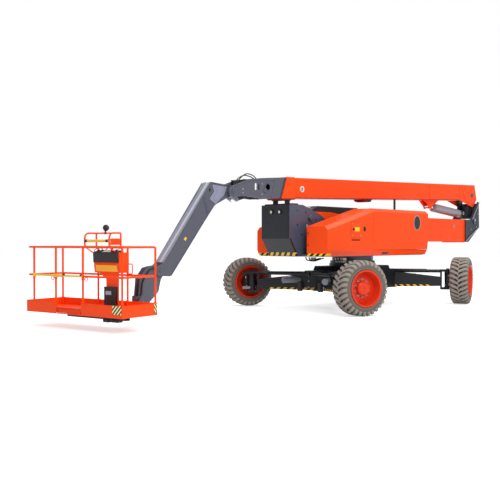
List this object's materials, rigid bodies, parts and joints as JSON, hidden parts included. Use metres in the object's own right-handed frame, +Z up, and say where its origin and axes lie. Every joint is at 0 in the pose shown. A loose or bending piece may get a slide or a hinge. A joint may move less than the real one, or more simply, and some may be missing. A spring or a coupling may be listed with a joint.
{
  "type": "articulated telescopic boom lift",
  "caption": "Self-propelled boom lift: steered four-leg chassis, slewing turntable, telescoping riser and boom, goose-neck jib and a railed work platform.",
  "frame": {"origin": "on the ground, under the middle of the stowed machine", "axes": "+X forward from the boom's pivot towards the platform, +Y to the machine's left, +Z up"},
  "size_m": [13.7591, 4.2942, 3.2158],
  "materials": {
    "tyre_rubber": "matt",
    "rim_paint": "satin",
    "chassis_paint": "satin",
    "cylinder_paint": "satin",
    "rod_chrome": "polished",
    "grey_paint": "satin",
    "orange_paint": "gloss",
    "gate_paint": "satin",
    "orange_shell": "gloss",
    "black_plastic": "matt",
    "counterweight_iron": "rough",
    "engine_iron": "rough",
    "tank_steel": "satin"
  },
  "bodies": {
    "chassis": {"chassis_frame": "chassis_paint", "chassis_leg_front_left": "chassis_paint", "chassis_leg_front_right": "chassis_paint", "chassis_leg_rear_left": "chassis_paint", "chassis_leg_rear_right": "chassis_paint", "steer_cylinders": "chassis_paint", "slew_ring": "chassis_paint"},
    "turntable": {"turntable_frame": "chassis_paint", "front_panel": "grey_paint", "boom_rest": "black_plastic", "counterweight": "counterweight_iron", "engine_block": "engine_iron", "tank": "tank_steel", "exhaust": "tank_steel", "side_covers": "orange_shell", "cover_sills": "orange_shell"},
    "hood_left": {"hood_left": "orange_shell"},
    "hood_right": {"hood_right": "orange_shell"},
    "riser": {"riser_base": "orange_paint"},
    "riser_inner": {"riser_extension": "orange_paint"},
    "riser_barrel": {"riser_cylinder_barrel": "cylinder_paint"},
    "riser_rod": {"riser_cylinder_rod": "rod_chrome"},
    "knuckle": {"knuckle": "grey_paint"},
    "boom": {"boom_base": "orange_paint"},
    "boom_middle": {"boom_mid": "grey_paint"},
    "boom_inner": {"boom_fly": "grey_paint"},
    "lift_barrel": {"boom_cylinder_barrel": "cylinder_paint"},
    "lift_rod": {"boom_cylinder_rod": "rod_chrome"},
    "jib": {"jib_arm": "grey_paint"},
    "jib_barrel": {"jib_cylinder_barrel": "cylinder_paint"},
    "jib_rod": {"jib_cylinder_rod": "rod_chrome"},
    "yoke": {"level_yoke": "grey_paint"},
    "support": {"platform_support": "grey_paint"},
    "level_barrel": {"level_cylinder_barrel": "cylinder_paint"},
    "level_rod": {"level_cylinder_rod": "rod_chrome"},
    "platform": {"platform_floor": "orange_paint", "platform_rails": "orange_paint", "control_console": "orange_shell", "document_box": "black_plastic", "sensor_bar": "black_plastic"},
    "gate": {"platform_gate": "gate_paint"},
    "steer_front_left": {"steer_knuckle_front_left": "chassis_paint"},
    "wheel_front_left": {"tyre_front_left": "tyre_rubber", "wheel_front_left": "rim_paint"},
    "steer_front_right": {"steer_knuckle_front_right": "chassis_paint"},
    "wheel_front_right": {"tyre_front_right": "tyre_rubber", "wheel_front_right": "rim_paint"},
    "steer_rear_left": {"steer_knuckle_rear_left": "chassis_paint"},
    "wheel_rear_left": {"tyre_rear_left": "tyre_rubber", "wheel_rear_left": "rim_paint"},
    "steer_rear_right": {"steer_knuckle_rear_right": "chassis_paint"},
    "wheel_rear_right": {"tyre_rear_right": "tyre_rubber", "wheel_rear_right": "rim_paint"}
  },
  "joints": [
    {"name": "slew", "type": "hinge", "parent": "chassis", "child": "turntable", "pos_m": [-0.93, 0, 1.08], "axis": [0, 0, 1], "continuous": true},
    {"name": "riser_lift", "type": "hinge", "parent": "turntable", "child": "riser", "pos_m": [1.17, 0, 2.06], "axis": [0, 1, 0], "range_deg": [0, 70]},
    {"name": "riser_extend", "type": "slide", "parent": "riser", "child": "riser_inner", "axis": [-1, 0, 0], "range_m": [0, 4]},
    {"name": "knuckle_level", "type": "hinge", "parent": "riser_inner", "child": "knuckle", "pos_m": [-6.55, 0, 2.115], "axis": [0, 1, 0], "range_deg": [-70, 0]},
    {"name": "boom_lift", "type": "hinge", "parent": "knuckle", "child": "boom", "pos_m": [-6.56, 0, 2.91], "axis": [0, -1, 0], "range_deg": [0, 75]},
    {"name": "boom_extend", "type": "slide", "parent": "boom", "child": "boom_middle", "axis": [0.9994, 0, -0.0349], "range_m": [0, 6]},
    {"name": "fly_extend", "type": "slide", "parent": "boom_middle", "child": "boom_inner", "axis": [0.9994, 0, -0.0349], "range_m": [0, 6]},
    {"name": "riser_swing", "type": "hinge", "parent": "turntable", "child": "riser_barrel", "pos_m": [0.57, 0, 1.36], "axis": [0, 1, 0], "range_deg": [0, 71.16]},
    {"name": "riser_stroke", "type": "slide", "parent": "riser_barrel", "child": "riser_rod", "axis": [-0.9989, 0, 0.047], "range_m": [0, 1.05688]},
    {"name": "lift_swing", "type": "hinge", "parent": "knuckle", "child": "lift_barrel", "pos_m": [-6.47, 0, 2.33], "axis": [0, 1, 0], "range_deg": [-66.45, 0]},
    {"name": "lift_stroke", "type": "slide", "parent": "lift_barrel", "child": "lift_rod", "axis": [0.9957, 0, 0.0927], "range_m": [0, 0.6226]},
    {"name": "jib_lift", "type": "hinge", "parent": "boom_inner", "child": "jib", "pos_m": [3.37, 0, 2.54], "axis": [0, 1, 0], "range_deg": [-110, 0]},
    {"name": "jib_swing", "type": "hinge", "parent": "boom_inner", "child": "jib_barrel", "pos_m": [2.42, 0, 2.6], "axis": [0, 1, 0], "range_deg": [-4.44, 0]},
    {"name": "jib_stroke", "type": "slide", "parent": "jib_barrel", "child": "jib_rod", "axis": [0.9635, 0, -0.2676], "range_m": [0, 0.4353]},
    {"name": "level_jib_part", "type": "hinge", "parent": "jib", "child": "yoke", "pos_m": [5.155, 0, 1], "axis": [0, 1, 0], "range_deg": [0, 110]},
    {"name": "level_boom_part", "type": "hinge", "parent": "yoke", "child": "support", "pos_m": [5.155, 0, 1], "axis": [0, 1, 0], "range_deg": [0, 75]},
    {"name": "level_swing", "type": "hinge", "parent": "jib", "child": "level_barrel", "pos_m": [4.32, 0, 1.87], "axis": [0, 1, 0], "range_deg": [0, 4.25]},
    {"name": "level_stroke", "type": "slide", "parent": "level_barrel", "child": "level_rod", "axis": [0.5819, 0, -0.8133], "range_m": [-0.58812, 0]},
    {"name": "platform_rotate", "type": "hinge", "parent": "support", "child": "platform", "pos_m": [5.57, 0, 0.35], "axis": [0, 0, 1], "range_deg": [-98.4, 81.6]},
    {"name": "gate_lift", "type": "slide", "parent": "platform", "child": "gate", "axis": [0, 0, 1], "range_m": [0, 0.4]},
    {"name": "steer_front_left", "type": "hinge", "parent": "chassis", "child": "steer_front_left", "pos_m": [1.1, 1.44, 0.5775], "axis": [0, 0, 1], "range_deg": [-17, 53]},
    {"name": "spin_front_left", "type": "hinge", "parent": "steer_front_left", "child": "wheel_front_left", "pos_m": [1.20198, 1.75385, 0.5775], "axis": [0.309, 0.9511, 0], "continuous": true},
    {"name": "steer_front_right", "type": "hinge", "parent": "chassis", "child": "steer_front_right", "pos_m": [1.1, -1.44, 0.5775], "axis": [0, 0, 1], "range_deg": [-8, 62]},
    {"name": "spin_front_right", "type": "hinge", "parent": "steer_front_right", "child": "wheel_front_right", "pos_m": [0.95018, -1.73403, 0.5775], "axis": [0.454, 0.891, 0], "continuous": true},
    {"name": "steer_rear_left", "type": "hinge", "parent": "chassis", "child": "steer_rear_left", "pos_m": [-2.96, 1.44, 0.5775], "axis": [0, 0, 1], "range_deg": [-55, 15]},
    {"name": "spin_rear_left", "type": "hinge", "parent": "steer_rear_left", "child": "wheel_rear_left", "pos_m": [-3.07287, 1.7501, 0.5775], "axis": [-0.342, 0.9397, 0], "continuous": true},
    {"name": "steer_rear_right", "type": "hinge", "parent": "chassis", "child": "steer_rear_right", "pos_m": [-2.96, -1.44, 0.5775], "axis": [0, 0, 1], "range_deg": [-63, 7]},
    {"name": "spin_rear_right", "type": "hinge", "parent": "steer_rear_right", "child": "wheel_rear_right", "pos_m": [-2.80507, -1.73137, 0.5775], "axis": [-0.4695, 0.8829, 0], "continuous": true},
    {"name": "hood_left_open", "type": "hinge", "parent": "turntable", "child": "hood_left", "pos_m": [-0.93, 0.6, 2.25], "axis": [1, 0, 0], "range_deg": [0, 60]},
    {"name": "hood_right_open", "type": "hinge", "parent": "turntable", "child": "hood_right", "pos_m": [-0.93, -0.45, 2.25], "axis": [-1, 0, 0], "range_deg": [0, 60]}
  ],
  "couplings": [
    {"joint": "riser_extend", "follows": "riser_lift", "m_per_rad": 3.274},
    {"joint": "knuckle_level", "follows": "riser_lift", "ratio": -1},
    {"joint": "fly_extend", "follows": "boom_extend", "ratio": 1},
    {"joint": "riser_swing", "follows": "riser_lift", "ratio": 1.0159},
    {"joint": "riser_stroke", "follows": "riser_lift", "m_per_rad": 0.86499},
    {"joint": "lift_swing", "follows": "boom_lift", "ratio": -0.88529},
    {"joint": "lift_stroke", "follows": "boom_lift", "m_per_rad": 0.47555},
    {"joint": "jib_swing", "follows": "jib_lift", "ratio": 0.039951},
    {"joint": "jib_stroke", "follows": "jib_lift", "m_per_rad": -0.22668},
    {"joint": "level_jib_part", "follows": "jib_lift", "ratio": -1},
    {"joint": "level_boom_part", "follows": "boom_lift", "ratio": 1},
    {"joint": "level_swing", "follows": "jib_lift", "ratio": -0.038201},
    {"joint": "level_stroke", "follows": "jib_lift", "m_per_rad": 0.30628}
  ]
}
